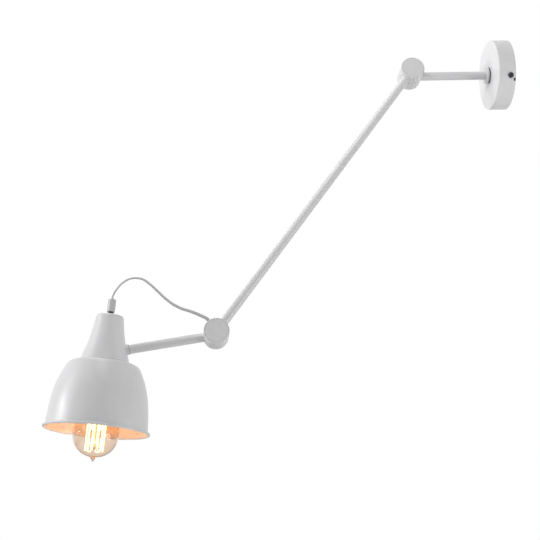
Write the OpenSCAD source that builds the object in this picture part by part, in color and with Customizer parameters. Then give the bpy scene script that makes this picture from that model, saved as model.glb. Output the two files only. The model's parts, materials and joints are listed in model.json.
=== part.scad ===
// Adjustable wall lamp: round canopy, two arms with friction knuckles, bell shade that turns on its arm.
// Millimetres. Origin at the centre of the canopy's back face, on the wall. The room is towards -Y, +Z is up.

/* [Wall canopy] */
// Outer diameter of the canopy
canopy_d = 100; // [90:1:130]
// Depth of the canopy from the wall to its face
canopy_h = 25; // [24:0.5:40]
// Sheet thickness of the canopy
canopy_wall = 1.2; // [0.8:0.1:2]
// Radius of the canopy's front edge
canopy_edge_r = 2; // [1.5:0.5:5]
// Width of the pry notch in the canopy's rim
pry_w = 4.5; // [2:0.5:6]
// Depth of the pry notch in the canopy's rim
pry_h = 3; // [1:0.5:3.5]
// Angle of the pry notch below the side screw
pry_at = 7; // [7:1:14]

/* [Wall bracket] */
// Turn of the bracket and the side screws about the wall swivel
bracket_turn = 28.4; // [0:0.2:45]
// Width of the bracket strip
bracket_w = 20; // [16:1:30]
// Sheet thickness of the bracket
bracket_t = 1.5; // [1.2:0.1:2.5]
// Length of the narrow end of the strip at each ear
ear_neck = 8; // [5:0.5:10]
// Width of each bent-up ear
ear_w = 12; // [10:0.5:16]
// Height of each ear from the wall
ear_h = 11; // [10:0.5:14]
// Diameter of the cable hole in the middle of the strip
bracket_hole_d = 12; // [8:0.5:14]
// Distance between the two wall screw holes
hole_spacing = 64; // [60:1:70]
// Diameter of a wall screw hole
wall_hole_d = 5; // [4:0.5:6]
// Thread diameter of the side screws
side_screw_d = 4; // [3:0.5:5]
// Distance of the side screws from the wall
side_screw_up = 7.5; // [5.5:0.5:8]
// Head diameter of the side screws
side_head_d = 8; // [6:0.2:9]
// Head height of the side screws
side_head_h = 2; // [1.5:0.1:3]
// Length of the side screws under the head
side_screw_l = 7; // [6:0.5:10]
// Thread diameter of the earth screw
earth_d = 4; // [3:0.5:5]
// Head diameter of the earth screw
earth_head_d = 8; // [7:0.5:9]
// Head height of the earth screw
earth_head_h = 2.4; // [1.8:0.1:3]
// Distance of the earth screw from the middle
earth_x = 15; // [13:0.5:18]

/* [Terminal block] */
// Length of the terminal block
block_l = 25; // [20:1:30]
// Width of the terminal block
block_w = 12; // [10:0.5:13]
// Height of the terminal block
block_h = 10; // [8:0.5:11]
// Distance of the block from the middle of the bracket
block_x = 11; // [10.5:0.5:13]
// Outer diameter of a brass sleeve in the block
clamp_d = 4.6; // [4:0.2:5]
// Wire bore of a brass sleeve
clamp_bore = 3; // [2:0.2:3.4]
// Set-back of the sleeves from the block's ends
clamp_in = 1; // [0.5:0.1:2]
// Height of the sleeves above the block's foot
clamp_up = 4; // [3.5:0.1:4.6]
// Diameter of the screw holes in the block
clamp_hole_d = 3.6; // [3:0.1:4]
// Distance from sleeve to sleeve
clamp_pitch = 8; // [6:0.5:9]

/* [Wall swivel] */
// Thread diameter of the hollow stem
stem_d = 10; // [8:0.5:11]
// Cable bore of the hollow stem
stem_bore = 6.4; // [5.6:0.2:7]
// Diameter of the friction washer on the canopy
root_washer_d = 23; // [20:0.5:26]
// Thickness of the friction washer on the canopy
root_washer_t = 2; // [1:0.1:3]
// Diameter of the flange at the root of the arm
root_flange_d = 24; // [20:0.5:28]
// Thickness of the flange at the root of the arm
root_flange_t = 3; // [2:0.1:4]
// Length of the spigot inside the tube
spigot_l = 9; // [6:0.5:14]
// Diameter of the flat washers under the nuts
flat_washer_d = 18; // [16:0.5:19]
// Thickness of the flat washers under the nuts
flat_washer_t = 1; // [0.6:0.1:1.5]
// Diameter of the dished spring washers
spring_washer_d = 16; // [14:0.5:17]
// Height of the dished spring washers
spring_washer_h = 1.3; // [1:0.1:1.8]
// Sheet thickness of the dished spring washers
spring_washer_t = 0.8; // [0.5:0.1:0.9]
// Width across flats of the thin lock nuts
nut_af = 14; // [13:0.5:15]
// Thickness of the thin lock nuts
nut_t = 4; // [3:0.1:5]
// Thread that stands out behind each lock nut
thread_over = 1.4; // [0.5:0.1:2.5]

/* [Arms] */
// Outer diameter of the arm tubes
tube_d = 12; // [11:0.5:13]
// Wall thickness of the arm tubes
tube_wall = 1; // [0.8:0.1:1.5]
// Distance of the shoulder knuckle's axis from the wall
shoulder_reach = 143; // [110:1:200]
// Length of the long arm from axis to axis
long_arm = 481; // [380:1:600]
// Angle of the long arm below the horizontal
long_drop = 51.9; // [30:0.1:75]
// Angle of the lamp arm below the horizontal
lamp_drop = 7.4; // [0:0.1:15]

/* [Knuckles] */
// Diameter of the knuckles
knuckle_d = 34; // [33:0.5:42]
// Length of one knuckle half along its axis
half_l = 17; // [16.5:0.5:22]
// Wall thickness of the knuckle halves
knuckle_wall = 4; // [3.5:0.1:4.5]
// Thickness of the web at the seam
web_t = 2.4; // [2:0.1:3]
// Diameter of the end caps
cap_d = 31.4; // [30.6:0.1:31.8]
// Thickness of the end caps
cap_t = 2; // [1.5:0.1:2.4]
// Bevel on the outer edge of the knuckles
knuckle_bevel = 0.6; // [0.3:0.1:0.8]
// Thickness of the friction washer in the seam
seam_t = 0.4; // [0.2:0.1:1]
// Diameter of the friction washer in the seam
seam_washer_d = 30; // [24:0.5:32]
// Diameter of the boss round the pivot
boss_d = 16; // [14:0.5:18]
// Height of the boss round the pivot
boss_h = 3; // [2:0.1:4]
// Diameter of the hollow pivots
pivot_d = 10; // [9:0.5:11]
// Cable bore of the hollow pivots
pivot_bore = 6.8; // [5.6:0.2:7.4]
// Head diameter of the hollow pivots
pivot_head_d = 14; // [12:0.5:16]
// Head thickness of the hollow pivots
pivot_head_t = 1.6; // [1:0.1:2.4]
// Width of the three notches at the seam
notch_d = 1.8; // [1:0.1:2.4]
// Depth of the notches at the seam
notch_depth = 0.9; // [0.5:0.1:1.5]
// Angle from notch to notch
notch_step = 18; // [14:1:24]

/* [Neck] */
// Distance of the shade's axis from the elbow's axis, along the lamp arm
shade_reach = 145.9; // [140:0.1:190]
// Rest turn of the shade about the lamp arm
shade_turn = 2; // [0:0.2:6]
// Angle between the lamp arm and the square across the shade's axis
neck_lean = 14.8; // [12:0.2:18]
// Height of the neck above the shade's rim
neck_z = 109.4; // [107:0.1:114]
// Diameter of the neck collar
collar_d = 14; // [13:0.5:18]
// Thickness of the neck collar
collar_t = 3; // [2.5:0.1:5]
// Diameter of the friction washer at the neck
neck_washer_d = 12.8; // [11:0.2:14]
// Thickness of the friction washer at the neck
neck_washer_t = 0.8; // [0.4:0.1:1.2]
// Length of the threaded plug in the arm's end
plug_l = 14; // [10:0.5:20]
// Diameter of the neck screw
neck_screw_d = 5; // [4:0.5:6]
// Head diameter of the neck screw
neck_head_d = 9; // [8:0.5:10]
// Head height of the neck screw
neck_head_h = 2.6; // [2:0.1:3]
// Diameter of the shaped washer inside the cup
saddle_d = 12; // [11:0.5:14]
// Thickness of the shaped washer inside the cup
saddle_t = 1.2; // [1:0.1:1.5]

/* [Socket cup] */
// Outer diameter at the cup's lower edge
cup_low_d = 66.4; // [64:0.2:68]
// Outer diameter at the cup's top
cup_top_d = 35.8; // [34:0.2:40]
// Height of the cup
cup_h = 63.6; // [60:0.2:70]
// Radius of the cup's hollow flare
cup_curve_r = 247; // [200:1:500]
// Sheet thickness of the cup
cup_wall = 1.3; // [0.8:0.1:1.6]
// Radius of the cup's top edge
cup_edge_r = 2.5; // [2:0.5:4]

/* [Bell shade] */
// Outer diameter over the rolled rim
rim_d = 137.6; // [136:0.2:150]
// Diameter of the rolled bead
bead_d = 3.4; // [2.6:0.1:4]
// Angle of the bead's round that the side takes up
bead_open = 50; // [40:2:70]
// Height of the bell from rim to seat
bell_h = 89.2; // [86:0.2:100]
// Sheet thickness of the bell
bell_wall = 1; // [0.8:0.1:1.4]
// Diameter of the flat seat on top of the bell
seat_d = 74.6; // [70:0.2:76]
// Slope of the bell's shoulder
shoulder_slope = 17; // [12:1:24]
// Diameter of the bell below its shoulder
shoulder_d = 96; // [93:0.2:100]
// Radius of the shoulder's corner
corner_r = 10; // [7:0.5:11]
// Lean of the bell's side just below the corner
side_lean = 26; // [20:1:30]
// Diameter of the bell above the rim
skirt_d = 131.2; // [128:0.2:134]
// Height of that diameter above the rim
skirt_z = 4.5; // [4:0.1:8]
// Lean of the side above the rim
skirt_lean = 4; // [2:0.5:8]
// Fullness of the side under the shoulder
full_top = 28; // [20:1:34]
// Fullness of the side above the rim
full_low = 42; // [34:1:48]

/* [Lampholder] */
// Diameter of the threaded part below the seat
holder_d = 40; // [36:0.2:42]
// Diameter of the flange on the seat
holder_flange_d = 46; // [44:0.5:50]
// Thickness of the flange on the seat
holder_flange_t = 2.5; // [2:0.1:3]
// Diameter of the upper body
holder_body_d = 36; // [34:0.2:37]
// Height of the upper body above the seat
holder_body_h = 22; // [20:0.5:24]
// Wall of the upper body
holder_wall = 3; // [2.4:0.1:3.6]
// Height of the bulb's contact above the seat
contact_up = 10.3; // [7.5:0.1:11]
// Thickness of the insulating floor over the contact
holder_floor_t = 3; // [2:0.1:4]
// Wall of the holder's cap
holder_cap_wall = 2.4; // [1.6:0.1:3]
// Height of the holder's cap
holder_cap_h = 14; // [12:0.5:16]
// Height of the cap's straight rim
holder_cap_rim = 2.5; // [2:0.1:3.5]
// Diameter of the cap's threaded boss
holder_boss_d = 14; // [12:0.5:16]
// Height of the cap's threaded boss
holder_boss_h = 4; // [3:0.5:5]
// Depth of the thread in the boss
boss_in = 8; // [7:0.5:9]
// Outer diameter of the shade ring
ring_d = 52; // [48:0.5:56]
// Height of the shade ring
ring_h = 8; // [6:0.5:10]
// Number of grip grooves round the shade ring
ring_grips = 12; // [8:1:24]
// Width of a grip groove
ring_grip_d = 3; // [2:0.2:4]
// Thickness of the brass screw shell
shell_t = 0.5; // [0.4:0.1:0.6]
// Set-back of the screw shell from the holder's edge
shell_in = 2; // [1:0.5:4]
// Diameter of the contact's stud
stud_d = 6; // [4:0.5:7]
// Length of the contact strip
strip_l = 13; // [9:0.5:14]
// Width of the contact strip
strip_w = 4; // [3:0.5:5]

/* [Cord grip] */
// Outer diameter of the cord grip
grip_d = 10.6; // [10:0.1:13]
// Length of the cord grip
grip_l = 17; // [14:0.5:24]
// Bare thread between the cup and the grip
grip_lift = 5.4; // [4:0.1:7]
// Thread diameter of the entry tube
entry_d = 8; // [7.4:0.1:8.4]
// Thread length inside the grip
entry_in = 7; // [5:0.5:9]
// Width across flats of the entry nut
entry_nut_af = 12; // [11:0.5:14]
// Thickness of the entry nut
entry_nut_t = 4; // [3:0.1:5]

/* [Lamp cord] */
// Width of the flat lamp cord
cord_d = 5; // [4:0.1:5.2]
// Thickness of the flat lamp cord
cord_t = 2.8; // [2.4:0.1:4]
// Outer diameter of the cord sleeve
sleeve_d = 7.2; // [6.8:0.1:8]
// Length of the sleeve outside the knuckle
sleeve_out = 6; // [5:0.5:8]
// Length of the sleeve inside the knuckle
sleeve_in = 6; // [5:0.5:7]
// Clearance round the cord in its sleeve and grip
cord_gap = 0.2; // [0.1:0.05:0.3]
// Angle of the sleeve's place on the knuckle, from the lamp arm's back end
sleeve_at = 98.6; // [90:0.2:110]
// Lean of the sleeve towards the lamp
sleeve_lean = 28; // [20:1:32]

/* [Bulb] */
// Largest diameter of the bulb
bulb_d = 59; // [56:0.5:64]
// Length of the bulb with its screw cap
bulb_l = 137.6; // [136:0.2:146]
// Height of the largest diameter above the tip
bulb_belly = 35; // [30:0.5:42]
// Length of the glass tip
bulb_nib = 5; // [3:0.5:6]
// Radius of the glass where the tip starts
nib_r = 4.5; // [4:0.5:8]
// Fullness of the glass below its largest diameter
belly_low = 16; // [12:1:20]
// Fullness of the glass above its largest diameter
belly_up = 26; // [20:1:32]
// Fullness of the glass below its neck
neck_full = 27; // [20:1:32]
// Straight glass below the screw cap
neck_out = 3; // [2:0.5:5]
// Length of the glass inside the screw cap
neck_in = 5; // [4:0.5:6]
// Thickness of the glass
glass_t = 0.8; // [0.5:0.1:1.2]
// Largest diameter of the screw cap
screw_d = 26.2; // [25.8:0.1:26.4]
// Height of the screw cap without its contact
screw_h = 23.5; // [22:0.5:25]
// Pitch of the screw cap's thread
screw_pitch = 3.6; // [3.4:0.1:3.8]
// Depth of the screw cap's thread
screw_wave = 0.9; // [0.6:0.1:1.2]
// Turns of the screw cap's thread
screw_turns = 5; // [3:1:5]
// Length of the black insulator and contact
tail_h = 3.8; // [3:0.1:4.5]
// Diameter of the black insulator
tail_d = 18.8; // [17:0.2:19.6]
// Diameter of the bulb's contact
contact_d = 10; // [8:0.5:11]
// Height of the bulb's contact
contact_h = 1.2; // [0.8:0.1:1.6]
// Length of each thick end of the stem
stem_bead = 4; // [3:0.5:5]
// Length of the taper at each thick end of the stem
stem_taper = 2; // [1:0.5:3]
// Diameter of the stem's thin tube in the cap
stem_pipe_d = 4; // [3:0.5:5]
// Thickness of the flare that joins the stem to the neck
flare_t = 1.5; // [1:0.1:2]
// Diameter of the glass stem
stem_glass_d = 6; // [5:0.5:8]
// Height of the filament cage's top above the tip
cage_top = 84; // [76:1:88]
// Height of the filament cage's foot above the tip
cage_foot = 14; // [12:0.5:20]
// Diameter of the filament cage at its top
cage_top_d = 25; // [20:0.5:27]
// Diameter of the filament cage at its foot
cage_foot_d = 23; // [18:0.5:24]
// Turn of the filament cage about the stem
cage_turn = -5; // [-15:1:15]
// Number of filament strands
strands = 12; // [8:2:16]
// Diameter of a filament strand
strand_d = 0.9; // [0.6:0.1:1.2]
// Diameter of a filament hook
hook_d = 0.5; // [0.4:0.1:0.8]
// Reach of a hook past the strands
hook_over = 1; // [0.8:0.1:1.4]

/* [Hidden] */
$fn = 96;
// Clearances: close fit of fixed pieces, running fit of turning pieces, gap of sheet edges
fit = 0.05;
run = 0.1;
edge_gap = 0.15;
// Overrun of a cut past a flat face and past a curved wall, small overlap of joined shapes, small bevel
cut = 1;
over = 3;
eps = 0.01;
bevel = 0.5;
cap_bevel = 0.3;
seam_bevel = 0.2;

// Stations along the wall swivel, measured from the wall
root_face = canopy_h + root_washer_t;
root_top = root_face + root_flange_t;
nut_seat = canopy_h - canopy_wall - flat_washer_t - spring_washer_h;
stem_end = nut_seat - nut_t - thread_over;
canopy_in = canopy_d / 2 - canopy_wall;
ear_x = sqrt(canopy_in * canopy_in - ear_w * ear_w / 4) - edge_gap;
clamp_z = bracket_t + clamp_up;

// Knuckle radii and the offset of the long arm
knuckle_r = knuckle_d / 2;
cavity_r = knuckle_r - knuckle_wall;
front_x = half_l + seam_t;
tube_in = cavity_r + seam_bevel;
bore_r = tube_d / 2 - tube_wall;

// Positions of the knuckles
shoulder = [0, -shoulder_reach, 0];
elbow = shoulder + long_arm * [0, -cos(long_drop), -sin(long_drop)];

// The cup's wall is an arc from its lower edge to its top, in radius and height above the rim
cup_low = [cup_low_d / 2, bell_h];
cup_top = [cup_top_d / 2, bell_h + cup_h];
cup_chord = cup_top - cup_low;
cup_half = norm(cup_chord) / 2;
cup_out = [cup_chord[1], -cup_chord[0]] / (2 * cup_half);
cup_mid = (cup_low + cup_top) / 2 + cup_out * sqrt(cup_curve_r * cup_curve_r - cup_half * cup_half);
function cup_r(z) = cup_mid[0] - sqrt(cup_curve_r * cup_curve_r - pow(z - cup_mid[1], 2));
// The lamp arm meets the cup's wall at the neck
neck_r = cup_r(neck_z);
cross_h = neck_z - neck_r * tan(neck_lean);
wall_t = shade_reach - neck_r / cos(neck_lean);
collar_at = wall_t - collar_t;
arm_end = collar_at - neck_washer_t;
saddle_at = wall_t + cup_wall;
head_at = saddle_at + saddle_t;

// Heights in the shade, above the rim plane
cup_z = bell_h + cup_h;
grip_z = cup_z + grip_lift;
grip_top = grip_z + grip_l;
entry_top = grip_z + entry_in;
holder_body_top = bell_h + holder_body_h;
holder_top = holder_body_top + holder_cap_h;
entry_low = holder_top - boss_in;
contact_z = bell_h + contact_up;
bulb_tip = contact_z - bulb_l;
screw_low = contact_z - tail_h - screw_h;
screw_top = screw_low + screw_h;
holder_low = screw_low + bevel;
shell_r = screw_d / 2 + run;
holder_bore_r = shell_r + shell_t + fit;
strip_t = 0.5;
floor_z = contact_z + strip_t + 1;
cord_bore = cord_d + 2 * cord_gap;

// Rotations about X and Y, and places of arm and shade points in the lamp's frame
function rx(a, p) = [p[0], p[1] * cos(a) - p[2] * sin(a), p[1] * sin(a) + p[2] * cos(a)];
function ry(a, p) = [p[0] * cos(a) + p[2] * sin(a), p[1], p[2] * cos(a) - p[0] * sin(a)];
function arm_pt(p) = elbow + rx(lamp_drop, p);
function shade_pt(p) = arm_pt([0, -shade_reach, 0] + ry(shade_turn, rx(-neck_lean, p - [0, 0, cross_h])));

// Cubic curve, arc points and a path moved sideways by d towards its right hand
function bez(a, b, c, d, n) = [for (i = [0:n]) let (t = i / n, u = 1 - t)
    u * u * u * a + 3 * u * u * t * b + 3 * u * t * t * c + t * t * t * d];
function arc(c, r, a0, a1, n) = [for (i = [0:n]) c + r * [cos(a0 + (a1 - a0) * i / n), sin(a0 + (a1 - a0) * i / n)]];
function unit(v) = v / norm(v);
function side(p, d) = let (n = len(p) - 1) [for (i = [0:n])
    let (t = unit(p[min(i + 1, n)] - p[max(i - 1, 0)])) p[i] + d * [t[1], -t[0]]];
function flip(p) = [for (i = [len(p) - 1:-1:0]) p[i]];

// Outer line of the bell, from its seat to its rim
corner_c = [shoulder_d / 2 - corner_r * cos(side_lean), 0];
corner_a = 90 - shoulder_slope;
corner_top = bell_h - (corner_c[0] + corner_r * cos(corner_a) - seat_d / 2) * tan(shoulder_slope);
corner_m = [corner_c[0], corner_top - corner_r * sin(corner_a)];
corner_end = corner_m + corner_r * [cos(side_lean), sin(side_lean)];
skirt = [skirt_d / 2, skirt_z];
bead_m = [(rim_d - bead_d) / 2, bead_d / 2];
bead_a = atan2(skirt[1] - bead_m[1], skirt[0] - bead_m[0]) + bead_open / 5;
bead_line = arc(bead_m, bead_d / 2, bead_a, bead_a + bead_open - 360, 20);
bell_line = concat(
    [[holder_d / 2 + edge_gap, bell_h], [seat_d / 2, bell_h]],
    arc(corner_m, corner_r, corner_a, side_lean, 8),
    [for (i = [1:15]) bez(corner_end, corner_end + full_top * [sin(side_lean), -cos(side_lean)],
        skirt + full_low * [-sin(skirt_lean), cos(skirt_lean)], skirt, 16)[i]],
    [for (i = [0:3]) bez(skirt, skirt - [0, bell_wall], bead_line[0] + bead_d * [-0.06, 0.09], bead_line[0], 4)[i]]);
bell_inner = [for (i = [0:len(bell_line) - 4]) side(bell_line, bell_wall)[i]];

// Half outline of the bulb's glass, from its tip to its neck
belly_z = bulb_tip + bulb_belly;
neck_low = screw_low - neck_out;
dome_z = bulb_tip + bulb_nib;
dome_start = [nib_r, dome_z + bulb_nib / 5];
glass_floor = dome_z + glass_t + edge_gap;
neck_glass_r = screw_d / 2 - screw_wave - edge_gap;
glass_line = concat(
    bez([0, bulb_tip], [bulb_nib * 0.35, bulb_tip], [bulb_nib * 0.4, dome_z - bulb_nib / 4], dome_start, 6),
    [for (i = [1:14]) bez(dome_start, [bulb_d * 0.32, dome_z + nib_r * 0.7], [bulb_d / 2, belly_z - belly_low],
        [bulb_d / 2, belly_z], 14)[i]],
    [for (i = [1:14]) bez([bulb_d / 2, belly_z], [bulb_d / 2, belly_z + belly_up],
        [neck_glass_r + glass_t, neck_low - neck_full], [neck_glass_r, neck_low], 14)[i]],
    [[neck_glass_r, screw_low + neck_in]]);

// Glass stem and filament cage, as heights above the rim plane
stem_r = stem_glass_d / 2;
stem_foot = bulb_tip + cage_foot + stem_taper;
stem_top = screw_top - neck_out;
cage_z = bulb_tip + cage_top;
flare_z = screw_low + neck_out;
flare_r = neck_glass_r - glass_t - fit;

// Route of the cord between its sleeve and its grip
sleeve_dir = sleeve_at + sleeve_lean;
function sleeve_pt(d) = arm_pt([0, knuckle_r * cos(sleeve_at) + d * cos(sleeve_dir),
    knuckle_r * sin(sleeve_at) + d * sin(sleeve_dir)]);
route = [[0, -16, 30.5], [0.5, -28, 38], [0.5, -39.5, 44], [1, -50, 52], [1, -59, 62], [1, -67, 73],
    [1.5, -75, 83.5], [2, -84.5, 92.5], [2.5, -98.5, 95.5], [2.5, -111, 91], [2.5, -121, 82]];
cord_pts = concat([for (d = [-4, 0, 4]) sleeve_pt(sleeve_out + d)], [for (p = route) arm_pt(p)],
    [for (d = [4, 0, -7]) shade_pt([0, 0, grip_top + d])]);
cord_sides = 10;
cord_steps = 3;

paint = [0.83, 0.83, 0.84];
zinc = [0.72, 0.73, 0.75];
dark = [0.25, 0.25, 0.26];
brass = [0.78, 0.62, 0.3];

// Frames: out of the wall, across a knuckle from its seam, along an arm away from its knuckle, in the shade
module from_wall() { rotate([90, 0, 0]) children(); }
module turned() { from_wall() rotate([0, 0, -bracket_turn]) children(); }
module in_shoulder(drop) { translate(shoulder) rotate([drop, 0, 0]) children(); }
module in_elbow(drop) { translate(elbow) rotate([drop, 0, 0]) children(); }
module long_end() { translate([0, -long_arm, 0]) children(); }
module rear_side() { translate([half_l / 2, 0, 0]) rotate([0, -90, 0]) children(); }
module front_side() { translate([half_l / 2 + seam_t, 0, 0]) rotate([0, 90, 0]) children(); }
module in_shade() {
    in_elbow(lamp_drop) translate([0, -shade_reach, 0]) rotate([0, shade_turn, 0]) rotate([-neck_lean, 0, 0])
        translate([0, 0, -cross_h]) children();
}

// Repeated shapes
module disc_ring(d, bore, h) {
    difference() {
        cylinder(d = d, h = h);
        translate([0, 0, -cut]) cylinder(d = bore, h = h + 2 * cut);
    }
}
module dished_ring(d, bore, h, t) {
    rotate_extrude() polygon([[bore / 2, h - t], [d / 2, 0], [d / 2, t], [bore / 2, h]]);
}
module hex_nut(af, bore, h) {
    difference() {
        intersection() {
            cylinder(d = af / cos(30), h = h, $fn = 6);
            rotate_extrude() polygon([[0, 0], [af / 2, 0], [af / cos(30) / 2 + eps, bevel],
                [af / cos(30) / 2 + eps, h - bevel], [af / 2, h], [0, h]]);
        }
        translate([0, 0, -cut]) cylinder(d = bore, h = h + 2 * cut);
    }
}
module tube(l) { disc_ring(tube_d, 2 * bore_r, l); }
module cross_screw(d, l, head_d, head_h) {
    difference() {
        union() {
            translate([0, 0, -l]) cylinder(d = d, h = l);
            rotate_extrude() polygon([[0, 0], [head_d / 2, 0], [head_d / 2, head_h * 0.45],
                [head_d * 0.36, head_h * 0.88], [head_d * 0.2, head_h], [0, head_h]]);
        }
        for (a = [0, 90]) rotate([0, 0, a]) translate([-head_d * 0.3, -head_d * 0.07, head_h * 0.4])
            cube([head_d * 0.6, head_d * 0.14, head_h]);
    }
}
module knuckle_half(bore, boss) {
    difference() {
        rotate_extrude() polygon([[bore / 2, 0], [knuckle_r - seam_bevel, 0], [knuckle_r, seam_bevel],
            [knuckle_r, half_l - knuckle_bevel], [knuckle_r - knuckle_bevel, half_l],
            [cap_d / 2 + fit, half_l], [cap_d / 2 + fit, half_l - cap_t], [cavity_r, half_l - cap_t],
            [cavity_r, web_t], [boss_d / 2, web_t], [boss_d / 2, web_t + boss], [bore / 2, web_t + boss]]);
        translate([0, cavity_r - cut, half_l / 2]) rotate([-90, 0, 0])
            cylinder(d = tube_d + 2 * fit, h = knuckle_wall + 2 * cut);
    }
}
module knuckle_cap() {
    translate([0, 0, half_l - cap_t]) rotate_extrude()
        polygon([[0, 0], [cap_d / 2, 0], [cap_d / 2, cap_t - cap_bevel],
            [cap_d / 2 - cap_bevel, cap_t], [0, cap_t]]);
}
module front_half() {
    difference() {
        front_side() children();
        for (i = [-1:1]) rotate([i * notch_step - 90 - long_drop, 0, 0])
            translate([half_l / 2 + seam_t, knuckle_r - notch_depth, 0]) rotate([-90, 0, 0])
            cylinder(d = notch_d, h = notch_depth + cut);
    }
}
module pivot() {
    l = seam_t + 2 * web_t + boss_h + flat_washer_t + spring_washer_h + nut_t + thread_over;
    front_side() translate([0, 0, web_t + boss_h]) difference() {
        union() {
            translate([0, 0, -l]) cylinder(d = pivot_d, h = l);
            cylinder(d = pivot_head_d, h = pivot_head_t);
        }
        translate([0, 0, -l - cut]) cylinder(d = pivot_bore, h = l + pivot_head_t + 2 * cut);
    }
}
module seam_washer() {
    translate([half_l / 2, 0, 0]) rotate([0, 90, 0]) disc_ring(seam_washer_d, pivot_d + 2 * run, seam_t);
}

// Canopy and wall bracket
module wall_bracket() color(zinc) turned() difference() {
    union() {
        translate([-ear_x, -bracket_w / 2, 0]) cube([2 * ear_x, bracket_w, bracket_t]);
        for (s = [-1, 1]) translate([s * (ear_x - bracket_t / 2) - bracket_t / 2, -ear_w / 2, 0])
            cube([bracket_t, ear_w, ear_h]);
    }
    for (s = [-1, 1], t = [-1, 1]) translate([s * ear_x, t * (ear_w + bracket_w) / 2, bracket_t / 2])
        cube([2 * ear_neck, bracket_w, bracket_t + 2 * cut], center = true);
    translate([0, 0, -cut]) cylinder(d = bracket_hole_d, h = bracket_t + 2 * cut);
    for (s = [-1, 1]) translate([s * hole_spacing / 2, 0, -cut]) cylinder(d = wall_hole_d, h = bracket_t + 2 * cut);
    translate([-ear_x - cut, 0, side_screw_up]) rotate([0, 90, 0])
        cylinder(d = side_screw_d + 2 * fit, h = 2 * (ear_x + cut));
    translate([-earth_x, 0, -cut]) cylinder(d = earth_d + 2 * fit, h = bracket_t + 2 * cut);
}
module canopy() color(paint) from_wall() difference() {
    rotate_extrude() polygon(concat(
        [[stem_d / 2 + run, canopy_h - canopy_wall], [stem_d / 2 + run, canopy_h]],
        arc([canopy_d / 2 - canopy_edge_r, canopy_h - canopy_edge_r], canopy_edge_r, 90, 0, 8),
        [[canopy_d / 2, 0], [canopy_in, 0], [canopy_in, canopy_h - canopy_edge_r],
        [canopy_d / 2 - canopy_edge_r, canopy_h - canopy_wall]]));
    for (s = [0, 180]) rotate([0, 0, s - bracket_turn]) translate([canopy_in - over, 0, side_screw_up])
        rotate([0, 90, 0]) cylinder(d = side_screw_d + 2 * run, h = canopy_wall + 2 * over);
    rotate([0, 0, -bracket_turn - pry_at]) translate([canopy_in - over, -pry_w / 2, -cut])
        cube([canopy_wall + 2 * over, pry_w, pry_h + cut]);
}
module side_screws() color(dark) turned() for (s = [0, 180]) rotate([0, 0, s])
    translate([canopy_d / 2, 0, side_screw_up]) rotate([0, 90, 0])
    cross_screw(side_screw_d, side_screw_l, side_head_d, side_head_h);
module earth_screw() color(brass) turned() translate([-earth_x, 0, bracket_t])
    cross_screw(earth_d, bracket_t, earth_head_d, earth_head_h);
module terminal_block() color([0.93, 0.93, 0.9]) turned() difference() {
    translate([block_x, -block_l / 2, bracket_t]) cube([block_w, block_l, block_h]);
    for (i = [-1:1]) {
        translate([block_x - cut, i * clamp_pitch, clamp_z]) rotate([0, 90, 0])
            cylinder(d = clamp_d + 2 * fit, h = block_w + 2 * cut);
        translate([block_x + block_w / 2, i * clamp_pitch, clamp_z]) cylinder(d = clamp_hole_d, h = block_h);
    }
}
module terminal_clamps() color(brass) turned() for (i = [-1:1])
    translate([block_x + clamp_in, i * clamp_pitch, clamp_z]) rotate([0, 90, 0])
    disc_ring(clamp_d, clamp_bore, block_w - 2 * clamp_in);

// Wall swivel and wall arm
module root_friction_washer() color(dark) from_wall() translate([0, 0, canopy_h])
    disc_ring(root_washer_d, stem_d + 2 * run, root_washer_t);
module root_fitting() color(paint) from_wall() difference() {
    union() {
        translate([0, 0, stem_end]) cylinder(d = stem_d, h = root_face - stem_end + eps);
        translate([0, 0, root_face]) rotate_extrude() polygon([[0, 0], [root_flange_d / 2, 0],
            [root_flange_d / 2, root_flange_t - bevel], [root_flange_d / 2 - bevel, root_flange_t],
            [0, root_flange_t]]);
        translate([0, 0, root_top - eps]) cylinder(r = bore_r - fit, h = spigot_l);
    }
    translate([0, 0, stem_end - cut]) cylinder(d = stem_bore, h = root_top + spigot_l - stem_end + 2 * cut);
}
module root_flat_washer() color(zinc) from_wall() translate([0, 0, canopy_h - canopy_wall - flat_washer_t])
    disc_ring(flat_washer_d, stem_d + 2 * fit, flat_washer_t);
module root_spring_washer() color(zinc) from_wall() translate([0, 0, nut_seat])
    dished_ring(spring_washer_d, stem_d + 2 * fit, spring_washer_h, spring_washer_t);
module root_nut() color(brass) from_wall() translate([0, 0, nut_seat - nut_t])
    hex_nut(nut_af, stem_d + 2 * fit, nut_t);
module wall_arm_tube() color(paint) from_wall() translate([0, 0, root_top])
    tube(shoulder_reach - tube_in - root_top);

// Shoulder knuckle
module shoulder_rear_half() color(paint) in_shoulder(0) rear_side() knuckle_half(pivot_d + 2 * run, 0);
module shoulder_rear_cap() color(paint) in_shoulder(0) rear_side() knuckle_cap();
module shoulder_front_half() color(paint) in_shoulder(long_drop) front_half() rotate([0, 0, 180])
    knuckle_half(pivot_d + 2 * fit, boss_h);
module shoulder_front_cap() color(paint) in_shoulder(long_drop) front_side() knuckle_cap();
module shoulder_seam_washer() color(dark) in_shoulder(long_drop) seam_washer();
module shoulder_pivot() color(brass) in_shoulder(long_drop) pivot();
module shoulder_flat_washer() color(zinc) in_shoulder(long_drop) rear_side() translate([0, 0, web_t])
    disc_ring(flat_washer_d, pivot_d + 2 * fit, flat_washer_t);
module shoulder_spring_washer() color(zinc) in_shoulder(long_drop) rear_side()
    translate([0, 0, web_t + flat_washer_t])
    dished_ring(spring_washer_d, pivot_d + 2 * fit, spring_washer_h, spring_washer_t);
module shoulder_nut() color(brass) in_shoulder(long_drop) rear_side()
    translate([0, 0, web_t + flat_washer_t + spring_washer_h]) hex_nut(nut_af, pivot_d + 2 * fit, nut_t);
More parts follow.
